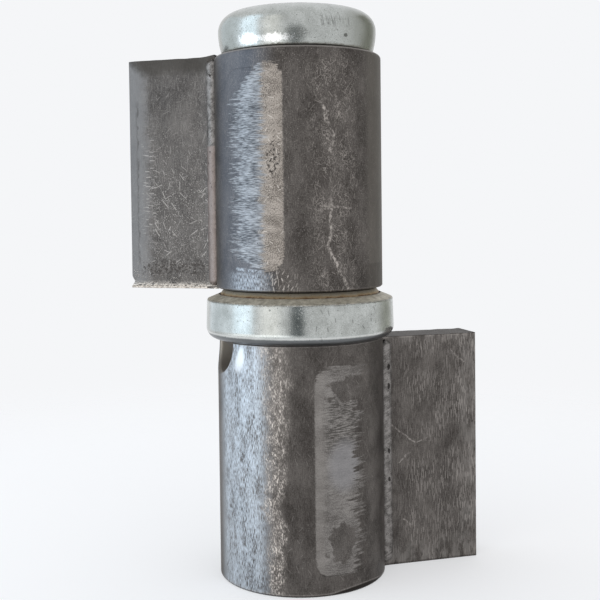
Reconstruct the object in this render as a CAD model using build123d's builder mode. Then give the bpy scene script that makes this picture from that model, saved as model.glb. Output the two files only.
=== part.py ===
from build123d import *
import os
from math import atan2, cos, degrees, radians, sin, sqrt

# Lift-off hinge: two barrels with welded leaves, turning on a fixed pin and a shrouded ball thrust bearing.
# Millimetres. Origin at the middle of the lower barrel's foot, +Z up the pin, +X along the lower leaf.

# Barrels
barrel_diameter = 42.0
lower_barrel_length = 59.9
upper_barrel_length = 57.8
barrel_edge_break = 0.3
upper_rim_radius = 1.0
notch_radius = 7.5
notch_drop = 0.7
notch_edge_radius = 0.8

# Pin
pin_diameter = 25.0
pin_headroom = 4.8
pin_nose_chamfer = 2.0
pin_foot_chamfer = 0.6
running_clearance = 0.08

# Leaves and their welds
leaf_thickness = 10.5
lower_leaf_width = 25.2
upper_leaf_width = 23.6
upper_leaf_angle = 146.3
lower_leaf_inset = 0.05
lower_leaf_drop = 0.65
upper_leaf_drop = 0.55
upper_leaf_rise = 0.7
leaf_edge_break = 0.4
rollover_width = 3.6
rollover_depth = 0.5
bevel_depth = 2.0
bevel_width = 2.0
weld_rise = 1.1
weld_crown = 0.25
weld_end_gap = 1.0

# Marks of the clamping jaws on the barrels, as angles from the leaf
jaw_fade_angle = 55.0
jaw_edge_angle = 97.0
jaw_mark_depth = 0.3
jaw_mark_margin = 4.7
jaw_corner_radius = 3.0

# Thrust bearing
shroud_diameter = 47.7
shroud_draft = 0.3
shroud_wall = 1.6
shroud_foot_radius = 2.8
shroud_top_radius = 0.5
lip_thickness = 1.3
lip_fall = 1.25
lower_race_thickness = 2.4
upper_race_thickness = 2.4
race_gap = 2.9
lip_gap = 0.4
boss_foot_radius = 20.2
boss_top_radius = 19.2
boss_rise = 1.6
boss_edge = 0.3
ball_diameter = 5.0
ball_count = 16
cage_thickness = 1.6
seat_clearance = 0.1
turning_clearance = 0.3
ball_clearance = 0.05
pocket_clearance = 0.12
cage_clearance = 0.9

# Top cap
cap_base_radius = 18.9
cap_radius = 19.85
cap_bulge_height = 6.1
cap_knuckle_radius = 4.6
cap_crown_radius = 110.0
cap_seat_radius = 15.5
cap_gap = 0.35
spigot_length = 8.0
spigot_chamfer = 0.8

# Radii and levels that follow
barrel_radius = barrel_diameter / 2
pin_radius = pin_diameter / 2
upper_bore_radius = pin_radius + running_clearance
ball_radius = ball_diameter / 2
shroud_radius = shroud_diameter / 2
shroud_top_outer = shroud_radius - shroud_draft
shroud_inner_foot = shroud_radius - shroud_wall
shroud_inner_top = shroud_top_outer - shroud_wall
ball_pitch_radius = (pin_radius + shroud_inner_top) / 2
groove_radius = ball_radius + ball_clearance

shroud_foot = lower_barrel_length
lower_race_foot = shroud_foot + shroud_wall
lower_race_top = lower_race_foot + lower_race_thickness
ball_level = lower_race_top + race_gap / 2
flange_foot = lower_race_top + race_gap
flange_top = flange_foot + upper_race_thickness
lip_foot = flange_top + lip_gap
shroud_top = lip_foot + lip_thickness
upper_barrel_foot = shroud_top + boss_rise
upper_barrel_top = upper_barrel_foot + upper_barrel_length
pin_top = upper_barrel_top - spigot_length - pin_headroom

os.makedirs("parts", exist_ok=True)


def write(builder, name):
    builder.part.label = name
    export_step(builder.part, f"parts/{name}.step")


def direction(angle):
    return (cos(radians(angle)), sin(radians(angle)), 0)


def barrel_reach(offset):
    # how far the barrel's round reaches at this distance from the leaf's middle plane
    return sqrt(barrel_radius**2 - offset**2)


def jaw_mark(leaf_angle, side, foot, length):
    # shallow track: deepest along its crisp edge, running out towards the leaf
    span = jaw_edge_angle - jaw_fade_angle
    middle = leaf_angle + side * (jaw_edge_angle + jaw_fade_angle) / 2
    shift = jaw_mark_depth / sin(radians(span))
    shift_x, shift_y, _ = direction(leaf_angle + side * (jaw_fade_angle - 90))
    face = Plane(
        origin=(0, 0, foot + length / 2),
        x_dir=direction(middle + 90),
        z_dir=direction(middle),
    )
    with BuildPart() as track:
        with BuildSketch(face):
            RectangleRounded(
                2 * barrel_radius * sin(radians(span / 2)),
                length - 2 * jaw_mark_margin,
                jaw_corner_radius,
            )
        extrude(amount=barrel_diameter)
        with Locations((shift * shift_x, shift * shift_y, foot)):
            Cylinder(
                barrel_radius,
                length,
                align=(Align.CENTER, Align.CENTER, Align.MIN),
                mode=Mode.SUBTRACT,
            )
    return track.part


def leaf_plane(leaf_angle, level):
    return Plane(origin=(0, 0, level), x_dir=direction(leaf_angle), z_dir=(0, 0, 1))


half_leaf = leaf_thickness / 2
root_half = half_leaf - bevel_depth
bevel_end = barrel_reach(half_leaf) + bevel_width


def leaf_outline(width):
    # section across the leaf: hollow root against the barrel, a weld bevel on each side, square outer end
    reach = barrel_radius + width
    with BuildSketch() as outline:
        with BuildLine():
            ThreePointArc(
                (barrel_reach(root_half), -root_half),
                (barrel_radius, 0),
                (barrel_reach(root_half), root_half),
            )
            Polyline(
                (barrel_reach(root_half), root_half),
                (bevel_end, half_leaf),
                (reach, half_leaf),
                (reach, -half_leaf),
                (bevel_end, -half_leaf),
                (barrel_reach(root_half), -root_half),
            )
        make_face()
    return outline.sketch


def weld_outline(side):
    # the bead fills the bevel and stands a little proud of the corner
    barrel_toe = (barrel_reach(half_leaf + weld_rise), side * (half_leaf + weld_rise))
    leaf_toe = (bevel_end, side * half_leaf)
    root = (barrel_reach(root_half), side * root_half)
    barrel_middle = barrel_reach((half_leaf + weld_rise + root_half) / 2)
    crown = (
        (barrel_toe[0] + leaf_toe[0]) / 2 + weld_crown,
        (barrel_toe[1] + leaf_toe[1]) / 2 + side * weld_crown,
    )
    with BuildSketch() as outline:
        with BuildLine():
            ThreePointArc(
                root,
                (barrel_middle, side * (half_leaf + weld_rise + root_half) / 2),
                barrel_toe,
            )
            ThreePointArc(barrel_toe, crown, leaf_toe)
            Line(leaf_toe, root)
        make_face()
    return outline.sketch


# Lower barrel
with BuildPart() as lower_barrel:
    with BuildSketch():
        Circle(barrel_radius)
        Circle(pin_radius, mode=Mode.SUBTRACT)
    extrude(amount=lower_barrel_length)
    for end_face in lower_barrel.faces().filter_by(Axis.Z):
        chamfer(end_face.outer_wire().edges(), barrel_edge_break)
    with BuildSketch(Plane.YZ.offset(-barrel_diameter)):
        with Locations((0, lower_barrel_length - notch_drop)):
            Circle(notch_radius)
    extrude(amount=barrel_diameter, mode=Mode.SUBTRACT)
    notch_foot = lower_barrel_length - notch_drop - notch_radius
    notch_wall = lower_barrel.faces().sort_by_distance((-(barrel_radius + pin_radius) / 2, 0, notch_foot))[0]
    fillet(notch_wall.edges().sort_by(Axis.X)[0], notch_edge_radius)
    for side in (-1, 1):
        add(jaw_mark(0, side, 0, lower_barrel_length), mode=Mode.SUBTRACT)
write(lower_barrel, "lower_barrel")

# Lower leaf
lower_leaf_foot = lower_leaf_inset
lower_leaf_height = lower_barrel_length - lower_leaf_inset - lower_leaf_drop
with BuildPart() as lower_leaf:
    with BuildSketch(leaf_plane(0, lower_leaf_foot)):
        add(leaf_outline(lower_leaf_width))
    extrude(amount=lower_leaf_height)
    outer_end = lower_leaf.faces().sort_by(Axis.X)[-1]
    chamfer(outer_end.edges(), leaf_edge_break)
write(lower_leaf, "lower_leaf")

# Welds of the lower leaf
for side, name in ((-1, "lower_weld_front"), (1, "lower_weld_rear")):
    with BuildPart() as lower_weld:
        with BuildSketch(leaf_plane(0, lower_leaf_foot + weld_end_gap)):
            add(weld_outline(side))
        extrude(amount=lower_leaf_height - 2 * weld_end_gap)
    write(lower_weld, name)

# Pin, pressed into the lower barrel and standing up into the upper one
with BuildPart() as hinge_pin:
    Cylinder(pin_radius, pin_top, align=(Align.CENTER, Align.CENTER, Align.MIN))
    chamfer(hinge_pin.faces().sort_by(Axis.Z)[-1].edges(), pin_nose_chamfer)
    chamfer(hinge_pin.faces().sort_by(Axis.Z)[0].edges(), pin_foot_chamfer)
write(hinge_pin, "hinge_pin")

# Bearing shroud: drawn cup with a lip turned in over the flange, falling towards the wall
lip_radius = boss_foot_radius + turning_clearance
lip_edge = shroud_top - lip_fall
with BuildPart() as bearing_shroud:
    with BuildSketch(Plane.XZ) as shroud_section:
        with BuildLine():
            Polyline(
                (pin_radius + seat_clearance, shroud_foot),
                (shroud_radius, shroud_foot),
                (shroud_top_outer, lip_edge),
                (lip_radius, shroud_top),
                (lip_radius, lip_foot),
                (shroud_inner_top, lip_foot),
                (shroud_inner_foot, lower_race_foot),
                (pin_radius + seat_clearance, lower_race_foot),
                close=True,
            )
        make_face()
        rounded_corners = (
            ((shroud_radius, shroud_foot), shroud_foot_radius),
            ((shroud_top_outer, lip_edge), shroud_top_radius),
            ((shroud_inner_foot, lower_race_foot), shroud_foot_radius - shroud_wall),
        )
        for corner, radius in rounded_corners:
            fillet(shroud_section.vertices().sort_by_distance(corner)[0], radius)
    revolve(axis=Axis.Z)
write(bearing_shroud, "bearing_shroud")

# Lower race, seated on the shroud's floor
lower_race_radius = shroud_inner_foot - turning_clearance
groove_half = sqrt(groove_radius**2 - (race_gap / 2) ** 2)
with BuildPart() as bearing_lower_race:
    with BuildSketch(Plane.XZ):
        with BuildLine():
            Polyline(
                (ball_pitch_radius - groove_half, lower_race_top),
                (pin_radius + seat_clearance, lower_race_top),
                (pin_radius + seat_clearance, lower_race_foot),
                (lower_race_radius - shroud_foot_radius + shroud_wall, lower_race_foot),
                (lower_race_radius, lower_race_foot + shroud_foot_radius - shroud_wall),
                (lower_race_radius, lower_race_top),
                (ball_pitch_radius + groove_half, lower_race_top),
            )
            ThreePointArc(
                (ball_pitch_radius + groove_half, lower_race_top),
                (ball_pitch_radius, ball_level - groove_radius),
                (ball_pitch_radius - groove_half, lower_race_top),
            )
        make_face()
    revolve(axis=Axis.Z)
write(bearing_lower_race, "bearing_lower_race")

# Upper race: grooved flange under the lip, with a cone that carries the upper barrel
upper_race_radius = shroud_inner_top - turning_clearance
with BuildPart() as bearing_upper_race:
    with BuildSketch(Plane.XZ):
        with BuildLine():
            Polyline(
                (ball_pitch_radius + groove_half, flange_foot),
                (upper_race_radius, flange_foot),
                (upper_race_radius, flange_top),
                (boss_foot_radius, flange_top),
                (boss_foot_radius, shroud_top),
                (boss_top_radius, upper_barrel_foot - boss_edge),
                (boss_top_radius - boss_edge, upper_barrel_foot),
                (pin_radius + turning_clearance, upper_barrel_foot),
                (pin_radius + turning_clearance, flange_foot),
                (ball_pitch_radius - groove_half, flange_foot),
            )
            ThreePointArc(
                (ball_pitch_radius - groove_half, flange_foot),
                (ball_pitch_radius, ball_level + groove_radius),
                (ball_pitch_radius + groove_half, flange_foot),
            )
        make_face()
    revolve(axis=Axis.Z)
write(bearing_upper_race, "bearing_upper_race")

# Cage: flat ring with a pocket for each ball
cage_inner = pin_radius + cage_clearance
cage_outer = shroud_inner_top - cage_clearance
with BuildPart() as bearing_cage:
    with BuildSketch(Plane.XY.offset(ball_level - cage_thickness / 2)):
        Circle(cage_outer)
        Circle(cage_inner, mode=Mode.SUBTRACT)
        with PolarLocations(ball_pitch_radius, ball_count):
            Circle(ball_radius + pocket_clearance, mode=Mode.SUBTRACT)
    extrude(amount=cage_thickness)
write(bearing_cage, "bearing_cage")

# Balls
for number in range(ball_count):
    ball_x, ball_y, _ = direction(number * 360 / ball_count)
    with BuildPart() as bearing_ball:
        with Locations((ball_pitch_radius * ball_x, ball_pitch_radius * ball_y, ball_level)):
            Sphere(ball_radius)
    write(bearing_ball, f"bearing_ball_{number + 1:02d}")

# Upper barrel
with BuildPart() as upper_barrel:
    with BuildSketch(Plane.XY.offset(upper_barrel_foot)):
        Circle(barrel_radius)
        Circle(upper_bore_radius, mode=Mode.SUBTRACT)
    extrude(amount=upper_barrel_length)
    chamfer(upper_barrel.faces().sort_by(Axis.Z)[0].outer_wire().edges(), barrel_edge_break)
    fillet(upper_barrel.faces().sort_by(Axis.Z)[-1].outer_wire().edges(), upper_rim_radius)
    for side in (-1, 1):
        add(
            jaw_mark(upper_leaf_angle, side, upper_barrel_foot, upper_barrel_length),
            mode=Mode.SUBTRACT,
        )
write(upper_barrel, "upper_barrel")

# Upper leaf, with the rolled-over edges that shearing left on its front face
upper_leaf_foot = upper_barrel_foot - upper_leaf_drop
upper_leaf_height = upper_barrel_length + upper_leaf_drop + upper_leaf_rise
leaf_axis = Axis((0, 0, 0), direction(upper_leaf_angle))
front_axis = Axis((0, 0, 0), direction(upper_leaf_angle + 90))
with BuildPart() as upper_leaf:
    with BuildSketch(leaf_plane(upper_leaf_angle, upper_leaf_foot)):
        add(leaf_outline(upper_leaf_width))
    extrude(amount=upper_leaf_height)
    front_face = upper_leaf.faces().sort_by(front_axis)[-1]
    rolled_edges = (
        front_face.edges().sort_by(leaf_axis)[-1],
        front_face.edges().sort_by(Axis.Z)[-1],
    )
    chamfer(rolled_edges, rollover_width, rollover_depth, reference=front_face)
write(upper_leaf, "upper_leaf")

# Welds of the upper leaf
for side, name in ((1, "upper_weld_front"), (-1, "upper_weld_rear")):
    with BuildPart() as upper_weld:
        with BuildSketch(leaf_plane(upper_leaf_angle, upper_leaf_foot + weld_end_gap)):
            add(weld_outline(side))
        extrude(amount=upper_leaf_height - 2 * weld_end_gap)
    write(upper_weld, name)

# Top cap: bulged rim, knuckle and shallow crown, on a spigot pressed into the upper bore
knuckle_level = upper_barrel_top + cap_bulge_height
knuckle_centre = cap_radius - cap_knuckle_radius
crown_centre = knuckle_level - sqrt((cap_crown_radius - cap_knuckle_radius) ** 2 - knuckle_centre**2)
crown_angle = degrees(atan2(knuckle_level - crown_centre, knuckle_centre))
with BuildPart() as top_cap:
    with BuildSketch(Plane.XZ):
        with BuildLine():
            Polyline(
                (0, crown_centre + cap_crown_radius),
                (0, upper_barrel_top - spigot_length),
                (upper_bore_radius - spigot_chamfer, upper_barrel_top - spigot_length),
                (upper_bore_radius, upper_barrel_top - spigot_length + spigot_chamfer),
                (upper_bore_radius, upper_barrel_top),
                (cap_seat_radius, upper_barrel_top),
                (cap_seat_radius, upper_barrel_top + cap_gap),
                (cap_base_radius, upper_barrel_top + cap_gap),
            )
            TangentArc(
                (cap_radius, knuckle_level),
                (cap_base_radius, upper_barrel_top + cap_gap),
                tangent=(0, -1),
            )
            CenterArc((knuckle_centre, knuckle_level), cap_knuckle_radius, 0, crown_angle)
            CenterArc((0, crown_centre), cap_crown_radius, crown_angle, 90 - crown_angle)
        make_face()
    revolve(axis=Axis.Z)
write(top_cap, "top_cap")
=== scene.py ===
import math

import bmesh
import bpy
from mathutils import Matrix, Vector, noise


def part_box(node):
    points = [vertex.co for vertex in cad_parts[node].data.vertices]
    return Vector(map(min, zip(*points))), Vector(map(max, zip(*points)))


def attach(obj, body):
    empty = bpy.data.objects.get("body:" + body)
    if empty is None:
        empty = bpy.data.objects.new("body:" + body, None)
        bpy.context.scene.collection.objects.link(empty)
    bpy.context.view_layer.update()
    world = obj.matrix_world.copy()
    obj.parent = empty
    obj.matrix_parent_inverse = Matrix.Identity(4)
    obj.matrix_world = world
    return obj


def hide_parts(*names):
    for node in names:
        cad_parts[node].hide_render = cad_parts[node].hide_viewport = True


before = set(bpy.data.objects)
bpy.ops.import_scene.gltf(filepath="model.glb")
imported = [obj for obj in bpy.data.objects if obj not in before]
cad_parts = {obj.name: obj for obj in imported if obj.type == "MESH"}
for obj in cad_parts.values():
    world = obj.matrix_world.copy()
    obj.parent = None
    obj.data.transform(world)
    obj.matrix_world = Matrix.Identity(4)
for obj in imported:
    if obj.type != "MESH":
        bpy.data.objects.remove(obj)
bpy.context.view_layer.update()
mm = 0.001


def cadSize(node):
    low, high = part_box(node)
    return low / mm, high / mm


def heading(bearing):
    turn = math.radians(bearing)
    return Vector((math.cos(turn), math.sin(turn), 0))


def corners(node):
    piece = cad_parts[node]
    return [piece.matrix_world @ vertex.co / mm for vertex in piece.data.vertices]


def leafBearing(node):
    # the way a leaf points from the axis
    middle = sum(corners(node), Vector()) / len(corners(node))
    return round(math.degrees(math.atan2(middle.y, middle.x)), 1)


def leafReach(node):
    out = heading(leafBearing(node))
    return max(out.dot(corner) for corner in corners(node))


def seen(red, green, blue):
    # a colour as it is read off a screen, made linear
    def straight(level):
        level /= 255
        return level / 12.92 if level <= 0.04045 else ((level + 0.055) / 1.055) ** 2.4
    return straight(red), straight(green), straight(blue)


class Field:
    # one number over a surface, so that a pattern reads as a sum
    def __init__(self, finish, socket):
        self.finish = finish
        self.socket = socket

    def __add__(self, other):
        return self.finish.math("ADD", self, other)

    def __radd__(self, other):
        return self.finish.math("ADD", other, self)

    def __sub__(self, other):
        return self.finish.math("SUBTRACT", self, other)

    def __rsub__(self, other):
        return self.finish.math("SUBTRACT", other, self)

    def __mul__(self, other):
        return self.finish.math("MULTIPLY", self, other)

    def __rmul__(self, other):
        return self.finish.math("MULTIPLY", other, self)

    def __truediv__(self, other):
        return self.finish.math("DIVIDE", self, other)

    def __abs__(self):
        return self.finish.math("ABSOLUTE", self)

    def least(self, other):
        return self.finish.math("MINIMUM", self, other)

    def most(self, other):
        return self.finish.math("MAXIMUM", self, other)

    def climb(self, low, high):
        # 0 below low, 1 above high, and falling where low is the larger
        node = self.finish.add("MapRange", {"Value": self, "From Min": low, "From Max": high},
                               interpolation_type="SMOOTHSTEP")
        return Field(self.finish, node.outputs["Result"])

    def within(self, low, high, soft):
        return self.climb(low - soft, low + soft) * self.climb(high + soft, high - soft)


class Finish:
    # a material and the few kinds of node that the finishes here are made of
    def __init__(self, name):
        self.material = bpy.data.materials.new(name)
        self.material.use_nodes = True
        self.tree = self.material.node_tree
        self.shader = self.tree.nodes["Principled BSDF"]
        place = self.add("TexCoord").outputs["Object"]
        scaled = self.add("VectorMath", {"Vector": place, "Scale": 1 / mm}, operation="SCALE")
        split = self.add("SeparateXYZ", {"Vector": scaled.outputs["Vector"]})
        self.x, self.y, self.z = [Field(self, axis) for axis in split.outputs]

    def add(self, kind, inputs=None, **settings):
        node = self.tree.nodes.new("ShaderNode" + kind)
        for key, value in settings.items():
            setattr(node, key, value)
        for key, value in (inputs or {}).items():
            self.put(node.inputs[key], value)
        return node

    def put(self, socket, value):
        if isinstance(value, Field):
            value = value.socket
        if isinstance(value, bpy.types.NodeSocket):
            self.tree.links.new(value, socket)
        elif isinstance(value, tuple) and len(value) == 3 and socket.type == "RGBA":
            socket.default_value = (*value, 1)
        else:
            socket.default_value = value

    def math(self, operation, first, second=0.0):
        node = self.add("Math", {0: first, 1: second}, operation=operation)
        return Field(self, node.outputs[0])

    def cloud(self, across, along, seed, detail=2.0, roughness=0.5):
        spot = self.add("CombineXYZ", {"X": across, "Y": along, "Z": seed})
        node = self.add("TexNoise", {"Vector": spot.outputs[0], "Scale": 1.0, "Detail": detail,
                                     "Roughness": roughness})
        return Field(self, node.outputs[0])

    def body(self, size, seed, detail=2.0, roughness=0.5):
        # the same pattern in every direction
        spot = self.add("CombineXYZ", {"X": self.x / size, "Y": self.y / size, "Z": self.z / size + seed})
        node = self.add("TexNoise", {"Vector": spot.outputs[0], "Scale": 1.0, "Detail": detail,
                                     "Roughness": roughness})
        return Field(self, node.outputs[0])

    def scratches(self, across, along, width, length, cell, seed, lean=0.0, spread=90.0):
        # one straight scratch in each cell, of uneven length, slant (in degrees) and strength
        spot = self.add("CombineXYZ", {"X": across / cell + seed, "Y": along / cell - seed})
        cells = self.add("TexVoronoi", {"Vector": spot.outputs[0], "Scale": 1.0}, voronoi_dimensions="2D")
        gap = self.add("VectorMath", {0: spot.outputs[0], 1: cells.outputs["Position"]},
                       operation="SUBTRACT")
        gapAcross, gapAlong = [Field(self, axis) * cell
                               for axis in self.add("SeparateXYZ", {0: gap.outputs[0]}).outputs[:2]]
        chances = self.add("SeparateColor", {0: cells.outputs["Color"]}).outputs
        luck = [Field(self, chance) for chance in chances]
        slant = luck[0] * math.radians(2 * spread) + math.radians(lean - spread)
        cosine, sine = self.math("COSINE", slant), self.math("SINE", slant)
        aside = abs(gapAcross * cosine + gapAlong * sine)
        ahead = abs(gapAlong * cosine - gapAcross * sine)
        half = (luck[1] * 0.8 + 0.2) * (length / 2)
        line = aside.climb(width * 0.6, width * 0.3) * ahead.climb(half, half * 0.6)
        return line * luck[2].climb(0.1, 0.9)

    def web(self, across, along, size, thin, seed):
        # fine crooked lines, broken off here and there
        ridge = abs(self.cloud(across / size, along / (size * 1.5), seed, 3.0, 0.55) - 0.5)
        broken = self.cloud(across / (size * 0.8), along / size, seed + 7.7, 3.0, 0.6).climb(0.44, 0.6)
        return ridge.climb(thin, thin * 0.3) * broken

    def stroke(self, across, along, start, end, width, seed):
        # one scratch from start to end, a little crooked and worn through in places
        run = (end[0] - start[0], end[1] - start[1])
        square = run[0] ** 2 + run[1] ** 2
        across = across + (self.cloud(across / 2, along / 2, seed, 3.0, 0.6) - 0.5) * 2.0
        offsetAcross = across - start[0]
        offsetAlong = along - start[1]
        share = (offsetAcross * (run[0] / square) + offsetAlong * (run[1] / square)).most(0).least(1)
        gapAcross = offsetAcross - share * run[0]
        gapAlong = offsetAlong - share * run[1]
        gap = self.math("SQRT", gapAcross * gapAcross + gapAlong * gapAlong)
        worn = self.cloud(across / 0.5, along / 0.9, seed + 3.1, 4.0, 0.65).climb(0.38, 0.62)
        return gap.climb(width, width * 0.35) * worn

    def oval(self, across, along, middle, size):
        # 0 in the middle, 1 on the line, growing with the square of the distance
        gapAcross = (across - middle[0]) / size[0]
        gapAlong = (along - middle[1]) / size[1]
        return gapAcross * gapAcross + gapAlong * gapAlong

    def tint(self, amount, below, above):
        node = self.add("Mix", {0: amount, 6: below, 7: above}, data_type="RGBA")
        return node.outputs[2]

    def shade(self, colour, factor):
        # the colour times a number that varies
        scaled = self.add("VectorMath", {0: colour, "Scale": factor}, operation="SCALE")
        return scaled.outputs["Vector"]

    def relief(self, height):
        # height in millimetres
        node = self.add("Bump", {"Height": height, "Strength": 1.0, "Distance": mm})
        self.put(self.shader.inputs["Normal"], node.outputs["Normal"])

    def done(self, colour, roughness, metallic):
        self.put(self.shader.inputs["Base Color"], colour)
        self.put(self.shader.inputs["Roughness"], roughness)
        self.put(self.shader.inputs["Metallic"], metallic)
        return self.material


# the levels and sizes that the finishes follow, from the parts in model.glb
lowerLow, lowerHigh = cadSize("lower_barrel")
upperLow, upperHigh = cadSize("upper_barrel")
barrelRadius = (lowerHigh.y - lowerLow.y) / 2
lowerBearing = leafBearing("lower_leaf")
upperBearing = leafBearing("upper_leaf")
lowerLeafLow, lowerLeafHigh = cadSize("lower_leaf")
halfLeaf = (lowerLeafHigh.y - lowerLeafLow.y) / 2

# rolled skin and bare steel, shared by the barrels and the leaves; the dark and pit tones also paint shade,
# and the worn tone also paints a highlight line
steel = {
    "darkAndShade": seen(62, 58, 55), "skin": seen(110, 105, 101), "bare": seen(200, 209, 218),
    "worn": seen(176, 170, 165), "pitAndShade": seen(36, 33, 31), "grainWidth": 0.2, "grainLength": 1.4,
    "blotchWidth": 5.0, "blotchLength": 9.0,
}


def rolledSkin(finish, across, along, seed, worn):
    # fine upright grain, slow blotches, and small bright specks where the skin is worn through
    grain = finish.cloud(across / steel["grainWidth"], along / steel["grainLength"], seed, 3.0, 0.6)
    blotch = finish.cloud(across / steel["blotchWidth"], along / steel["blotchLength"], seed + 11.3,
                          4.0, 0.6)
    speck = finish.cloud(across / 0.25, along / 0.3, seed + 5.9, 2.0)
    level = (grain * 0.55 + blotch * 0.7 + speck * 0.4 - 0.33).climb(0.26, 0.74)
    through = finish.cloud(across / 0.22, along / 0.38, seed + 17.0, 3.0, 0.65).climb(0.58, 0.72)
    colour = finish.tint(through * worn, finish.tint(level, steel["darkAndShade"], steel["skin"]), steel["worn"])
    return colour, grain, speck


def barrelPlace(finish, leafAt):
    # millimetres round the barrel from the line opposite its leaf, and up it, wrapped over its ends
    back = heading(leafAt + 180)
    ahead = finish.x * back.x + finish.y * back.y
    aside = finish.y * back.x - finish.x * back.y
    radius = finish.math("SQRT", finish.x * finish.x + finish.y * finish.y)
    arc = finish.math("ARCTAN2", aside, ahead) * barrelRadius
    return arc, finish.z + barrelRadius - radius, radius


def arcAt(bearing, leafAt):
    turn = (bearing - leafAt) % 360 - 180
    return math.radians(turn) * barrelRadius


# the marks that the welding jaws pressed on both sides of each barrel
jaw = {"crispAngle": 97.0, "corner": 4.4}


def jawMark(finish, arc, low, high, ragged):
    # inside the crisp edge and between the two ends, rounded at the corners, with a ragged line
    away = math.pi * barrelRadius - abs(arc)
    inner = math.radians(jaw["crispAngle"]) * barrelRadius - away
    ends = low.least(high)
    shortAcross = (jaw["corner"] - inner).most(0)
    shortAlong = (jaw["corner"] - ends).most(0)
    inside = jaw["corner"] - finish.math("SQRT", shortAcross * shortAcross + shortAlong * shortAlong)
    return (inside + ragged).climb(-0.25, 0.35), inner


def rimWear(finish, along, foot, top, ragged):
    # bright steel where the ends' edges were knocked
    edge = (along - foot).least(top - along) + (ragged - 0.5) * 0.9
    return edge.climb(0.5, 0.1)


lowerBarrelLook = {
    "seed": 3.0, "limb": (184.0, 195.0), "rubbedEnd": (238.0, 223.0), "nicked": 237.0,
    "jawEnds": (4.6, 54.9), "groundRows": (35.0, 47.0),
    "islands": ((286.0, 49.4, 6.4, 3.3), (283.0, 12.2, 4.4, 5.0)), "sheen": (284.0, 31.0),
    "sheenSize": (5.0, 7.0), "notch": ((20.9, 20.4), (50.5, 51.0), (9.6, 8.8)), "notchShade": (52.0, 58.0),
    "mark": (seen(94, 90, 87), seen(148, 144, 140)), "notchLitTone": (seen(120, 113, 104), seen(178, 170, 158)),
    "spot": (210.2, 56.2), "shadedFootCut": (297.0, 8.5, 0.8),
}


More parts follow.
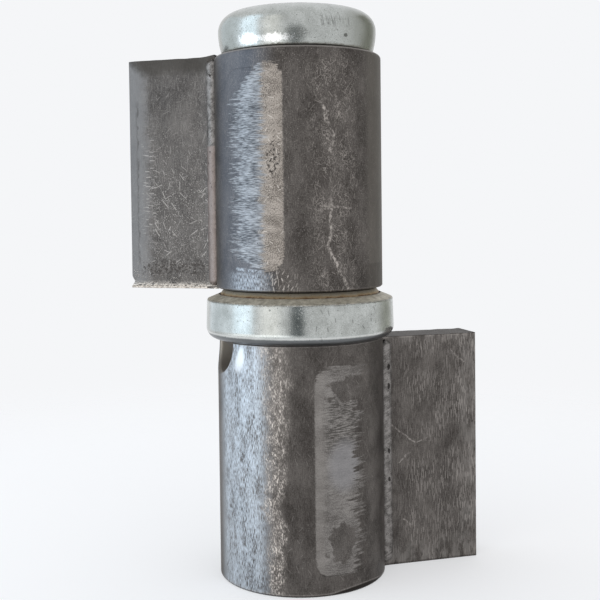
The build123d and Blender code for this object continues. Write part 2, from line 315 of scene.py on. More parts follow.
def lowerBarrelSteel():
    look = lowerBarrelLook
    finish = Finish("lowerBarrelSteel")
    arc, along, radius = barrelPlace(finish, lowerBearing)
    colour, grain, speck = rolledSkin(finish, arc, along, look["seed"], 0.3)

    def at(bearing):
        return arcAt(bearing, lowerBearing)

    fine = finish.scratches(arc, along, 0.2, 2.4, 2.6, 1.7, 0.0, 50.0)
    colour = finish.tint(fine * 0.22, colour, steel["worn"])

    # skin rubbed through to steel in fine upright strokes, thickest on the side away from the leaf
    left, full = [at(bearing) for bearing in look["limb"]]
    last, thick = [at(bearing) for bearing in look["rubbedEnd"]]
    broad = finish.cloud(arc / 2.2, along / 7.0, 22.0, 4.0, 0.6)
    haze = finish.cloud(arc / 0.15, along / 1.2, 21.0, 3.0, 0.6)
    here = arc.climb(left - 2, full) * (arc + (broad - 0.5) * 5).climb(last, thick)
    strokes = (haze * 1.0 + broad * 0.45 - 0.22).climb(0.38, 0.62)
    strokes = strokes.most(finish.scratches(arc, along / 2.0, 0.24, 3.0, 0.9, 7.3, 0.0, 6.0) * 0.9)
    strokes = (strokes - 0.52) * arc.climb(left, full) + 0.52
    colour = finish.tint((strokes * 0.84 + 0.1) * here, colour, steel["bare"])

    # a narrower wandering band of bright nicks beside it
    wander = (finish.cloud(along / 9.0, 4.0, 23.0, 2.0) - 0.5) * 7
    near = (abs(arc - at(look["nicked"]) + wander) * (1.5 - along * 0.012)).climb(4.2, 1.2)
    patchy = finish.cloud(arc / 1.2, along / 2.6, 24.0, 4.0, 0.65).climb(0.38, 0.6)
    nicks = finish.cloud(arc / 0.2, along / 0.7, 25.0, 3.0, 0.65).climb(0.48, 0.64)
    nicks = nicks.most(finish.scratches(arc, along, 0.3, 2.2, 1.1, 5.7, 8.0, 30.0))
    colour = finish.tint(near * (patchy * 0.3 + 0.15), colour, seen(142, 136, 131))
    near = near * (1.12 - along * 0.008)
    colour = finish.tint(nicks * near * (patchy * 0.75 + 0.12), colour, seen(240, 231, 222))

    # the jaw mark: level rows of grinding, a smooth sheen, and skin left standing in two islands
    foot, top = look["jawEnds"]
    rows = finish.cloud(arc / 2.0 + along * 0.1, along / 0.32, 33.0, 3.0, 0.6)
    step = finish.cloud(arc / 5.0, along / 0.6, 34.0, 2.0).climb(0.35, 0.65) - 0.5
    sway = finish.cloud(arc / 6, along / 4.0, 35.0, 4.0, 0.6)
    ragged = (finish.cloud(arc / 0.8, along / 0.9, 31.0, 4.0, 0.65) - 0.5) * 1.2
    mark, inner = jawMark(finish, arc, along - foot, top - along + step * 1.2, ragged)
    fade = (inner + step * 3 + (sway - 0.5) * 14).climb(13.0, 10.5)
    kept = mark * fade
    for bearing, level, width, height in look["islands"]:
        edge = finish.cloud(arc / 2.6, along / 2.6, level, 4.0, 0.6)
        reach = finish.math("SQRT", finish.oval(arc, along, (at(bearing), level), (width, height)))
        reach = reach + (edge - 0.5) * 1.8
        kept = kept * (reach.climb(0.8, 0.95) * 0.8 + 0.2)
    ground = along.within(*look["groundRows"], 1.5) * inner.climb(1.5, 4.5) * rows.climb(0.56, 0.42)
    low, high = look["mark"]
    tone = finish.tint((speck * 0.5 + sway * 0.6 + rows * 0.35 - 0.22).climb(0.32, 0.68), low, high)
    tone = finish.tint(inner.climb(3.6, 1.2) * 0.4, tone, seen(148, 143, 138))
    tone = finish.tint(ground * 0.75, tone, seen(74, 71, 68))
    sheenBearing, sheenLevel = look["sheen"]
    sheen = finish.oval(arc, along, (at(sheenBearing), sheenLevel), look["sheenSize"])
    tone = finish.tint(sheen.climb(1.2, 0.2) * 0.55, tone, seen(150, 149, 151))
    colour = finish.tint(kept, colour, tone)

    # a painted highlight beside the notch, painted light on the notch's inner wall, paler towards its top,
    # and bare steel round the rims
    highlightBearing, highlightLevel = look["spot"]
    up = (along - highlightLevel) / 3.2
    across = (arc - at(highlightBearing) - up * 0.8) / (1.5 - up * 0.4)
    spot = (across * across + up * up + (haze - 0.5) * 0.8).climb(1.7, 0.0)
    colour = finish.tint(spot * 0.85, colour, seen(232, 237, 241))
    inside, lowest, widest = look["notch"]
    notch = radius.climb(*inside) * finish.z.climb(*lowest) * abs(arc).climb(*widest)
    low, high = look["notchLitTone"]
    colour = finish.tint(notch, colour, finish.tint(finish.z.climb(*look["notchShade"]), low, high))
    rim = rimWear(finish, along, lowerLow.z, lowerHigh.z, haze)
    colour = finish.tint(rim * 0.75, colour, steel["worn"])

    # the sawn foot: painted shade below a thin painted highlight line, and deepest where a corner is cut
    # away
    cutBearing, cutWidth, cutDepth = look["shadedFootCut"]
    across = (arc - at(cutBearing)) / cutWidth
    lift = along - lowerLow.z - (1 - across * across).most(0) * cutDepth - 0.4 + (haze - 0.5) * 0.3
    colour = finish.tint(lift.within(0.05, 0.35, 0.12) * nicks.most(0.35) * 0.6, colour, steel["worn"])
    colour = finish.tint(lift.climb(0.1, -0.1) * 0.85, colour, steel["pitAndShade"])

    pits = finish.cloud(arc / 0.5, along / 0.6, 37.0, 2.0).climb(0.72, 0.78)
    colour = finish.tint(pits * 0.8, colour, steel["pitAndShade"])
    finish.relief(grain * 0.02 + haze * here * 0.03 - pits * 0.08 + rows * kept * 0.03 - mark * 0.05)
    roughness = 0.5 - here * 0.06 - kept * 0.06 - spot * 0.12 + grain * 0.06
    return finish.done(colour, roughness, 1 - notch * 0.7)


upperBarrelLook = {
    "seed": 6.0, "scratchedBand": (263.5, 294.0), "footBand": (203.0, 233.0, 72.0, 77.0),
    "jawEnds": (77.4, 126.8), "blueReflection": (186.0, 232.0), "plainStrip": (303.0, 311.0),
    "crooked": ((269.0, 118.0), (273.0, 113.0), (277.8, 109.6), (276.0, 105.8), (278.0, 101.0),
                (275.4, 94.0), (275.6, 86.0), (273.2, 83.4), (276.5, 81.0), (281.5, 77.0), (288.3, 73.0)),
    "crossing": (((265.4, 91.5), (281.0, 92.6)), ((269.0, 92.7), (290.1, 92.1))),
    "footLine": ((209.0, 77.9), (231.0, 77.4)), "lowScratches": (234.0, 252.0),
    "lowRows": (78.5, 76.5), "lineWhole": (95.0, 92.0), "lineGap": (94.5, 105.0),
    "flatWidth": 5.3, "pitted": (237.7, 104.0), "pittedSize": (2.0, 5.0),
    "rows": (seen(78, 80, 84), seen(166, 169, 173)), "flat": (seen(92, 86, 80), seen(172, 164, 156)),
}


def upperBarrelSteel():
    look = upperBarrelLook
    finish = Finish("upperBarrelSteel")
    arc, along = barrelPlace(finish, upperBearing)[:2]
    colour, grain = rolledSkin(finish, arc, along, look["seed"], 0.8)[:2]

    def at(bearing):
        return arcAt(bearing, upperBearing)

    def span(place):
        return [at(bearing) for bearing in look[place]]

    # a painted blue reflection of the window towards the leaf, a plainer strip opposite, darker at its foot
    colour = finish.tint(arc.within(*span("blueReflection"), 4.0) * 0.32, colour, seen(116, 126, 141))
    plain = arc.climb(*span("plainStrip"))
    colour = finish.tint(plain * 0.6, colour, seen(113, 108, 103))
    colour = finish.tint(plain * along.climb(79.0, 78.4) * 0.35, colour, steel["darkAndShade"])

    # fine scratches every way, thick on the side away from the leaf
    here = arc.within(*span("scratchedBand"), 4.0) * along.climb(upperHigh.z - 0.5, upperHigh.z - 4.5)
    patchy = finish.cloud(arc / 3.0, along / 6.0, 58.0, 4.0, 0.6).climb(0.38, 0.62)
    dust = finish.cloud(arc / 0.24, along / 0.45, 57.0, 4.0, 0.7).climb(0.53, 0.62) * 0.8
    dust = dust.most(finish.web(arc, along, 1.5, 0.016, 59.0)).most(finish.web(arc, along, 2.6, 0.012, 60.0))
    scratched = dust * here * (patchy * 0.8 + 0.05)
    lines = finish.scratches(arc, along, 0.2, 2.6, 1.8, 11.3, 0.0, 70.0)
    lines = lines.most(finish.scratches(arc, along, 0.22, 2.4, 2.1, 12.7, 0.0, 20.0))
    lowDown = arc.within(*span("lowScratches"), 3.0) * along.climb(*look["lowRows"])
    scratched = scratched.most(lines * (here * 0.28 + 0.14 + lowDown * 0.5))
    scratched = scratched.most(finish.scratches(arc, along, 0.3, 3.0, 1.0, 13.9, -12.0, 35.0) * lowDown)
    points = [(at(bearing), level) for bearing, level in look["crooked"]]
    broken = finish.cloud(arc / 2.4, along / 3.0, 62.0, 3.0).climb(0.36, 0.58)
    broken = broken.most(along.climb(*look["lineWhole"]))
    broken = broken * (1 - along.within(*look["lineGap"], 1.5) * 0.85)
    for start, end in zip(points, points[1:]):
        scratched = scratched.most(finish.stroke(arc, along, start, end, 0.55, 61.0) * broken)
    for line in look["crossing"]:
        start, end = [(at(bearing), level) for bearing, level in line]
        scratched = scratched.most(finish.stroke(arc, along, start, end, 0.34, 63.0) * 0.7)
    colour = finish.tint(scratched * 0.88, colour, seen(188, 181, 174))

    # rubbed bright along the foot on the leaf side
    footLeft, footRight, footLow, footHigh = look["footBand"]
    foot = arc.within(at(footLeft), at(footRight), 3.0) * along.within(footLow, footHigh, 0.8)
    haze = finish.cloud(arc / 0.2, along / 0.9, 65.0, 3.0, 0.6)
    rubbed = haze.climb(0.38, 0.62) * foot
    start, end = [(at(bearing), level) for bearing, level in look["footLine"]]
    rubbed = rubbed.most(finish.stroke(arc, along, start, end, 0.6, 66.0))
    colour = finish.tint(rubbed * 0.58, colour, steel["bare"])

    # the jaw mark: a grainy flat beside its crisp edge, then ragged rows towards the leaf
    jawFoot, jawTop = look["jawEnds"]
    rows = finish.cloud(arc / 1.7 - along * 0.12, along / 0.22, 73.0, 3.0, 0.6)
    step = finish.cloud(arc / 6.0 - along * 0.1, along / 0.7, 74.0, 3.0, 0.6).climb(0.35, 0.65) - 0.5
    sway = finish.cloud(arc / 6, along / 3.0, 75.0, 4.0, 0.6)
    wide = finish.cloud(arc / 30, along / 6.0, 76.0, 2.0)
    ragged = (finish.cloud(arc / 0.7, along / 0.8, 71.0, 4.0, 0.65) - 0.5) * 1.2
    spread = (math.radians(jaw["crispAngle"] - 180) * barrelRadius + abs(arc) - 4.5).most(0)
    top = jawTop - along - spread * 0.7 + step * 1.6
    low = along - jawFoot - spread * 0.35 + step * 1.2
    mark, inner = jawMark(finish, arc, low, top, ragged)
    fade = (inner + step * 5 + (sway - 0.5) * 8 + (wide - 0.5) * 8).climb(14.6, 12.2)
    flat = (inner + step * 1.6 + (sway - 0.5) * 3).climb(look["flatWidth"] + 1.3, look["flatWidth"] - 0.9)
    dim, bright = look["rows"]
    streaks = finish.tint((rows * 0.9 + sway * 0.5 - 0.2).climb(0.32, 0.68), dim, bright)
    dim, bright = look["flat"]
    crumbs = finish.cloud(arc / 0.25, along / 0.28, 77.0, 3.0, 0.6)
    grains = finish.tint((crumbs * 0.85 + sway * 0.45 - 0.14).climb(0.32, 0.66), dim, bright)
    pale = finish.scratches(arc, along, 0.24, 2.4, 2.2, 16.1) * 0.6
    deep = finish.scratches(arc, along, 0.26, 1.6, 1.5, 17.3, -40.0, 30.0) * 0.5
    grains = finish.tint(deep, finish.tint(pale, grains, seen(214, 207, 199)), steel["pitAndShade"])
    colour = finish.tint(mark * fade, colour, finish.tint(flat, streaks, grains))

    # pits, thickest in one place on the flat
    pitBearing, pitLevel = look["pitted"]
    cluster = finish.oval(arc, along, (at(pitBearing), pitLevel), look["pittedSize"]).climb(1.1, 0.3)
    pits = finish.cloud(arc / 0.5, along / 0.6, 79.0, 2.0).climb(0.7, 0.77)
    pits = pits.most(finish.cloud(arc / 0.7, along / 0.8, 81.0, 3.0).climb(0.53, 0.6) * cluster)
    colour = finish.tint(pits * 0.8, colour, steel["pitAndShade"])
    rim = rimWear(finish, along, upperLow.z, upperHigh.z, haze)
    colour = finish.tint(rim * 0.5, colour, steel["worn"])
    finish.relief(grain * 0.02 + scratched * 0.02 - pits * 0.1 + rows * mark * fade * 0.06 - mark * 0.05)
    return finish.done(colour, 0.5 - mark * fade * 0.08 - rubbed * 0.08 + grain * 0.06, 1.0)


def leafPlace(finish, bearing, front):
    # millimetres out from the axis along the leaf, wrapped over its edges
    out = heading(bearing)
    along = finish.x * out.x + finish.y * out.y
    side = (finish.y * out.x - finish.x * out.y) * front
    return along + side * 0.8, along


lowerLeafLook = {
    "seed": 9.0, "stroke": seen(162, 156, 151), "smudge": seen(132, 128, 124),
    "marks": (((22.4, 36.5), (29.2, 31.2)), ((29.2, 31.2), (33.0, 32.7)), ((24.3, 26.4), (27.3, 28.8)),
              ((25.7, 11.6), (27.8, 10.0)), ((38.5, 55.4), (42.8, 51.7))),
    "rubbedEdges": ((39.0, 45.5), (8.0, 2.0), (56.0, 58.5)),
}


def lowerLeafSteel():
    look = lowerLeafLook
    finish = Finish("lowerLeafSteel")
    across, out = leafPlace(finish, lowerBearing, -1)
    colour, grain = rolledSkin(finish, across, finish.z, look["seed"], 0.35)[:2]
    # pale upright dashes, thick in the middle, and soft rubbed places along the outer edge and the foot
    dashes = finish.scratches(across, finish.z / 1.8, 0.24, 4.2, 0.95, 23.7, -1.0, 4.0)
    dashes = dashes.most(finish.scratches(across, finish.z / 1.8, 0.22, 3.0, 0.8, 27.1, -1.0, 4.0))
    dashes = dashes.most(finish.cloud(across / 0.19, finish.z / 1.9, 95.0, 3.0, 0.6).climb(0.5, 0.66) * 0.5)
    smudge = finish.cloud(across / 2.4, finish.z / 5.0, 97.0, 5.0, 0.65).climb(0.4, 0.6)
    thick = finish.cloud(across / 6.0, finish.z / 9.0, 98.0, 3.0).climb(0.36, 0.6) * out.climb(23.5, 29.0)
    outer, foot, top = look["rubbedEdges"]
    edge = (out.climb(*outer) + finish.z.climb(*foot) + finish.z.climb(*top) * 0.5).least(1.0)
    colour = finish.tint(smudge * (edge * 0.65 + 0.05), colour, look["smudge"])
    dashes = dashes * (thick * 0.5 + 0.13 + edge * 0.15)
    for start, end in look["marks"]:
        dashes = dashes.most(finish.stroke(out, finish.z, start, end, 0.3, 99.0) * 0.8)
    colour = finish.tint(dashes, colour, look["stroke"])
    # a pale line along the top edge, a dark top face and painted shade along the foot
    low, high = lowerLeafLow.z, lowerLeafHigh.z
    edge = finish.z.within(high - 0.5, high - 0.22, 0.15)
    colour = finish.tint(edge * smudge * 0.6, colour, look["stroke"])
    colour = finish.tint(finish.z.climb(high - 0.2, high - 0.13) * 0.85, colour, seen(58, 52, 48))
    colour = finish.tint(finish.z.climb(low + 0.7, low + 0.15) * 0.5, colour, steel["pitAndShade"])
    finish.relief(grain * 0.02 + dashes * 0.012)
    return finish.done(colour, 0.5 + grain * 0.08, 1.0)


upperLeafLook = {"seed": 12.0, "stroke": seen(196, 191, 186), "shadedTopBand": seen(74, 71, 67),
                 "footBand": seen(236, 227, 216), "rolled": seen(132, 130, 129), "cool": seen(84, 87, 90),
                 "scratchedRows": (76.0, 103.0), "rollLine": (37.2, 40.8), "topLine": (125.6, 128.6),
                 "shadedCrease": (42.1, 42.5), "shadedCreaseRows": (78.0, 120.0), "strokeColumns": (37.0, 40.6),
                 "strokeRows": (85.0, 112.0), "footLine": (74.2, 72.6), "shadedHollowRows": (75.4, 78.8),
                 "shadedHollowEnd": (42.2, 40.6)}


def upperLeafSteel():
    look = upperLeafLook
    finish = Finish("upperLeafSteel")
    across, out = leafPlace(finish, upperBearing, 1)
    colour, grain, speck = rolledSkin(finish, across, finish.z, look["seed"], 0.5)
    # a fine upright weave, and flecks and scratches that thicken towards the foot
    weave = finish.cloud(across / 0.22, finish.z / 2.4, 102.0, 3.0, 0.6).climb(0.46, 0.66)
    slow = finish.cloud(across / 5.0, finish.z / 7.0, 101.0, 4.0, 0.6)
    colour = finish.tint(weave * 0.12 + slow.climb(0.4, 0.62) * 0.06, colour, look["stroke"])
    colour = finish.tint(0.2, colour, look["cool"])
    here = finish.z.within(*look["scratchedRows"], 8.0) * 0.65 + 0.35
    patchy = finish.cloud(across / 2.2, finish.z / 3.0, 106.0, 4.0, 0.65).climb(0.4, 0.62)
    flecks = finish.cloud(across / 0.26, finish.z / 0.4, 103.0, 4.0, 0.68).climb(0.53, 0.65)
    flecks = flecks * (patchy * 0.75 + 0.25)
    lines = finish.scratches(across, finish.z, 0.2, 3.4, 2.4, 25.1, 0.0, 70.0)
    lines = lines.most(finish.scratches(across, finish.z, 0.2, 2.2, 3.4, 26.7, 75.0, 30.0) * 0.6)
    lines = lines.most(finish.scratches(across, finish.z, 0.18, 5.0, 2.6, 28.3, 0.0, 7.0) * 0.4)
    # painted light along the rolled outer edge, and painted shade in a band under the top edge
    rolled = (out + (speck - 0.5) * 2.4 + (patchy - 0.5) * 1.6).climb(*look["rollLine"])
    corner = (out - 40.5).most(0)
    shadedTopBand = (finish.z + (patchy - 0.5) * 0.8 - corner * 0.9).climb(*look["topLine"])
    scratched = flecks.most(lines * 0.62) * here * (1 - rolled * 0.6) * (1 - shadedTopBand * 0.7)
    colour = finish.tint(scratched, colour, look["stroke"])
    colour = finish.tint(rolled * (1 - shadedTopBand) * 0.6, colour, look["rolled"])
    # painted shade along a crease near the outer edge
    shadedCrease = (out + (patchy - 0.5) * 0.5).within(*look["shadedCrease"], 0.3)
    shadedCrease = shadedCrease * finish.z.within(*look["shadedCreaseRows"], 3.0)
    colour = finish.tint(shadedCrease * (patchy * 0.4 + 0.25), colour, steel["darkAndShade"])
    # short level strokes beside the rolled edge
    level = finish.scratches(across, finish.z, 0.26, 3.0, 1.3, 29.9, 90.0, 12.0)
    level = level * (out + (slow - 0.5) * 4).within(*look["strokeColumns"], 1.0)
    level = level * finish.z.within(*look["strokeRows"], 4.0)
    colour = finish.tint(level * 0.5, colour, look["stroke"])
    # the painted shade under the top edge
    colour = finish.tint(shadedTopBand * 0.75, colour, look["shadedTopBand"])
    # torn bright along the foot, with flecks above it
    torn = finish.cloud(across / 1.5, finish.z / 0.55, 107.0, 5.0, 0.65)
    footBand = (finish.z + (torn - 0.5) * 6).climb(*look["footLine"]) * torn.climb(0.43, 0.53)
    footBand = footBand.most(flecks * finish.z.climb(80.0, 74.0) * 0.8)
    colour = finish.tint(footBand * 0.9, colour, look["footBand"])
    # a row of hollows above it, darkened with painted shade
    shadedHollow = finish.cloud(across / 0.8, finish.z / 0.7, 108.0, 3.0, 0.6).climb(0.48, 0.56)
    shadedHollow = shadedHollow * (finish.z + (patchy - 0.5) * 1.5).within(*look["shadedHollowRows"], 0.6)
    shadedHollow = shadedHollow * out.climb(*look["shadedHollowEnd"])
    colour = finish.tint(shadedHollow * 0.7, colour, steel["darkAndShade"])
    finish.relief(grain * 0.02 + scratched * 0.02 + torn * footBand * 0.15)
    return finish.done(colour, 0.48 + grain * 0.08, 1.0)


weldLook = {"seed": 15.0, "pale": seen(152, 148, 145), "dull": seen(93, 90, 87), "warm": seen(160, 147, 141),
            "step": (71.0, 108.2), "holes": (51.6, 46.7, 29.9, 22.7), "holeReach": 21.6,
            "holeSize": (0.45, 0.75)}


def weldMetal():
    look = weldLook
    finish = Finish("weldMetal")
    lump = finish.body(1.3, look["seed"], 4.0, 0.6)
    grit = finish.body(0.3, 16.0, 2.0)
    low, high = look["step"]
    ticks = finish.cloud((finish.z - finish.x * 0.6 + finish.y * 0.6) / 0.35, finish.z / 6, 17.0, 2.0)
    uneven = (lump * 0.5 + grit * 0.25 + ticks * 0.25).climb(0.38, 0.6)
    colour = finish.tint(uneven, look["dull"], look["pale"])
    warm = (finish.z + (lump - 0.5) * 0.8).within(low, high, 0.2)
    colour = finish.tint(warm * 0.75, colour, finish.tint(grit, seen(132, 120, 115), look["warm"]))
    pits = finish.body(0.7, 113.0, 2.0).climb(0.68, 0.74)
    # blow-holes in the lower front bead
    for level in look["holes"]:
        hole = finish.oval(finish.x, finish.z, (look["holeReach"], level), look["holeSize"])
        hole = (hole + (lump - 0.5) * 3).climb(1.2, 0.6)
        pits = pits.most(hole * finish.y.climb(-2.0, -3.0))
    # painted shade where the bead runs out into the barrel and the leaf
    crest = finish.add("Attribute", attribute_name="crest").outputs["Fac"]
    crest = Field(finish, crest) + (lump - 0.5) * 0.5
    colour = finish.tint(crest.climb(0.62, 0.42) * 0.7, colour, steel["pitAndShade"])
    colour = finish.tint(pits * 0.85, colour, steel["pitAndShade"])
    finish.relief(lump * 0.06 + grit * 0.02 - pits * 0.2)
    return finish.done(colour, 0.45 + lump * 0.15, 1.0)


def burrSteel():
    finish = Finish("burrSteel")
    lump = finish.body(0.5, 117.0, 4.0, 0.6)
    colour = finish.tint(lump.climb(0.35, 0.65), seen(158, 151, 143), seen(228, 219, 208))
    finish.relief(lump * 0.1)
    return finish.done(colour, 0.4 + lump * 0.15, 1.0)


# bright zinc on the bearing shroud and the cap
zincLook = {"seed": 18.0, "pale": seen(196, 199, 196), "dull": seen(160, 163, 159), "spot": seen(78, 79, 75)}


def zincSkin(finish):
    # cloudy plate with a fine sparkle, and small dark specks
    flow = finish.body(4.0, zincLook["seed"], 4.0, 0.6)
    fleck = finish.body(0.28, 121.0, 2.0)
    speck = finish.body(0.5, 123.0, 2.0).climb(0.66, 0.73)
    cloudy = (flow * 0.6 + fleck * 0.45 - 0.02).climb(0.3, 0.7)
    colour = finish.tint(cloudy, zincLook["dull"], zincLook["pale"])
    colour = finish.tint(speck * 0.75, colour, zincLook["spot"])
    return colour, flow, fleck, speck


shroudLook = {"lipFall": 1.25, "lip": (seen(122, 113, 94), seen(196, 188, 170)), "grime": seen(84, 79, 68),
              "foot": seen(92, 94, 97), "line": seen(228, 228, 226), "scored": (262.0, 305.0),
              "shadedFootRise": (1.75, 1.45), "highlightLineRise": (1.8, 2.1)}


def zincShroud():
    look = shroudLook
    finish = Finish("zincShroud")
    colour, flow, fleck, speck = zincSkin(finish)
    arc = barrelPlace(finish, lowerBearing)[0]
    low, high = cadSize("bearing_shroud")
    left, right = look["scored"]
    scored = finish.scratches(arc, finish.z, 0.25, 1.8, 1.9, 41.0, 12.0, 25.0)
    scored = scored * arc.within(arcAt(left, lowerBearing), arcAt(right, lowerBearing), 2.0)
    colour = finish.tint(scored * 0.6, colour, zincLook["spot"])
    # soil on the lip and along its edge, painted shade on the foot and a painted highlight line above it
    soil = finish.body(1.2, 127.0, 4.0, 0.65)
    edge = high.z - look["lipFall"]
    lip = (finish.z + (soil - 0.5) * 0.5).climb(edge - 0.2, edge + 0.15)
    dim, pale = look["lip"]
    grimy = finish.tint((soil * 0.8 + fleck * 0.3).climb(0.35, 0.75), dim, pale)
    colour = finish.tint(lip * 0.85, colour, grimy)
    crust = (finish.z + (soil - 0.5) * 0.9).within(edge - 0.3, edge + 0.1, 0.2) * fleck.climb(0.36, 0.56)
    colour = finish.tint(crust * 0.7, colour, look["grime"])
    # painted shade on the foot rounding, and a thin painted highlight line
    rise = finish.z - low.z
    foot = (rise + (soil - 0.5) * 0.3).climb(*look["shadedFootRise"])
    colour = finish.tint(foot * 0.85, colour, look["foot"])
    line = rise.within(*look["highlightLineRise"], 0.15)
    colour = finish.tint(line * 0.6, colour, look["line"])
    finish.relief(fleck * 0.012 - (speck + scored) * 0.03)
    return finish.done(colour, 0.18 + flow * 0.06 + lip * 0.3 + foot * 0.12, 1 - lip * 0.65)


zincCapLook = {"scuffs": (282.0, 136.4, 8.5, 2.2), "spot": (290.8, 133.2, 0.7, 0.5),
               "rough": (254.8, 133.2, 4.0, 1.8), "highlightTop": (138.0, 140.4),
               "bright": ((239.5, 132.4, 5.0, 1.0), (217.5, 132.5, 4.0, 1.4)), "grime": seen(112, 106, 94),
               "side": seen(134, 136, 128), "gouge": ((271.0, 137.6), (272.4, 135.2)),
               "shadedLeft": (212.0, 198.0), "shadedRight": (276.0, 314.0), "crown": (140.5, 140.8)}


def zincCap():
    look = zincCapLook
    finish = Finish("zincCap")
    colour, flow, fleck, speck = zincSkin(finish)
    arc = barrelPlace(finish, upperBearing)[0]

    def patch(bearing, level, width, height):
        middle = (arcAt(bearing, upperBearing), level)
        return finish.math("SQRT", finish.oval(arc, finish.z, middle, (width, height)))

    # short leaning scuffs, a knocked spot, a roughened place, painted highlights and soil above the seat
    scuffs = finish.cloud((arc + finish.z * 0.25) / 0.3, finish.z / 6, 31.0, 2.0).climb(0.5, 0.68)
    scuffs = scuffs * patch(*look["scuffs"]).climb(1.0, 0.2)
    start, end = [(arcAt(bearing, upperBearing), level) for bearing, level in look["gouge"]]
    scuffs = scuffs.most(finish.stroke(arc, finish.z, start, end, 0.35, 33.0))
    spot = (patch(*look["spot"]) + (fleck - 0.5) * 0.8).climb(1.1, 0.7)
    rough = (patch(*look["rough"]) + (flow - 0.5)).climb(1.1, 0.5) * fleck.climb(0.4, 0.6)
    soil = finish.body(0.9, 129.0, 4.0, 0.65)
    ragged = (soil - 0.5) * 1.8 + (fleck - 0.5) * 1.2
    first, second = [(patch(*place) + ragged).climb(1.1, 0.6) for place in look["bright"]]
    paintedHighlights = first.most(second)
    seat = (finish.z + (soil - 0.5) * 2.0).climb(upperHigh.z + 1.1, upperHigh.z + 0.4)
    # painted shade towards both sides, a painted highlight near the top, and a thin dark line round the
    # crown
    start, end = [arcAt(bearing, upperBearing) for bearing in look["shadedLeft"]]
    dull = arc.climb(start, end) * 0.5
    start, end = [arcAt(bearing, upperBearing) for bearing in look["shadedRight"]]
    dull = dull.most(arc.climb(start, end) * 0.85)
    colour = finish.tint(dull, colour, look["side"])
    colour = finish.tint(finish.z.climb(*look["highlightTop"]) * 0.3, colour, seen(226, 229, 228))
    crown = finish.z.within(*look["crown"], 0.15) * soil.climb(0.42, 0.58)
    colour = finish.tint(crown * 0.45, colour, zincLook["spot"])
    colour = finish.tint(paintedHighlights * 0.8, colour, seen(246, 247, 246))
    colour = finish.tint((scuffs * 0.7).most(spot).most(rough * 0.8) * 0.8, colour, zincLook["spot"])
    colour = finish.tint(seat * 0.6, colour, look["grime"])
    # painted shade where the cap meets the barrel
    colour = finish.tint(finish.z.climb(upperHigh.z + 0.65, upperHigh.z + 0.35) * 0.9, colour, steel["pitAndShade"])
    finish.relief(fleck * 0.012 - speck * 0.03 - (scuffs + spot) * 0.04)
    return finish.done(colour, 0.19 + flow * 0.06 + rough * 0.15 + seat * 0.15, 1.0)


raceLook = {"seed": 24.0, "pale": seen(172, 164, 147), "film": seen(160, 139, 106), "rust": seen(92, 62, 38)}


def raceSteel():
    finish = Finish("raceSteel")
    film = finish.body(1.6, raceLook["seed"], 4.0, 0.65)
    grit = finish.body(0.3, 131.0, 2.0)
    foot = cadSize("bearing_shroud")[1].z
    height = finish.z + (film - 0.5) * 1.2
    colour = finish.tint(height.climb(foot + 0.9, foot + 0.2), raceLook["pale"], raceLook["film"])
    colour = finish.tint(height.climb(foot + 0.3, foot - 0.05), colour, raceLook["rust"])
    colour = finish.tint(grit.climb(0.58, 0.72) * 0.6, colour, raceLook["rust"])
    # painted shadow under the foot of the upper barrel
    colour = finish.tint(finish.z.climb(upperLow.z - 0.55, upperLow.z - 0.3) * 0.9, colour, steel["pitAndShade"])
    finish.relief(film * 0.03 + grit * 0.02)
    return finish.done(colour, 0.42 + film * 0.2, 0.6)


def groundSteel(name, tone, seed):
    # bright turned or rolled steel: pin, cage and balls
    finish = Finish(name)
    lines = finish.cloud(finish.x / 9 + finish.y / 9, finish.z / 0.15, seed, 3.0)
    film = finish.body(4.0, seed + 2.0, 3.0)
    colour = finish.tint((lines * 0.5 + film * 0.5).climb(0.3, 0.7), tuple(0.75 * c for c in tone), tone)
    finish.relief(lines * 0.004)
    return finish.done(colour, 0.22 + film * 0.12, 1.0)


print("finishes")
finishes = {
    "lowerBarrel": lowerBarrelSteel(), "upperBarrel": upperBarrelSteel(),
    "lowerLeaf": lowerLeafSteel(), "upperLeaf": upperLeafSteel(),
    "weld": weldMetal(), "burr": burrSteel(), "shroud": zincShroud(), "cap": zincCap(), "race": raceSteel(),
    "pin": groundSteel("pinSteel", seen(186, 186, 184), 27.0),
    "cage": groundSteel("cageSteel", seen(176, 168, 142), 29.0),
    "ball": groundSteel("ballSteel", seen(205, 206, 207), 31.0),
}


def dress(node, finish):
    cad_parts[node].material_slots[0].material = finishes[finish]


for node, finish in (("lower_barrel", "lowerBarrel"), ("upper_barrel", "upperBarrel"),
                     ("bearing_shroud", "shroud"), ("bearing_lower_race", "race"),
                     ("bearing_upper_race", "race"), ("bearing_cage", "cage"), ("hinge_pin", "pin"),
                     ("top_cap", "cap")):
    dress(node, finish)
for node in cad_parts:
    if node.startswith("bearing_ball"):
        dress(node, "ball")


def settle(piece, body, slotName, *nodes):
    # a finished piece stands for its solids and moves with their body
    if nodes:
        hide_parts(*nodes)
    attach(piece, body)


def smoothEdges(mesh, degrees):
    for face in mesh.polygons:
        face.use_smooth = True
    mesh.set_sharp_from_angle(angle=math.radians(degrees))


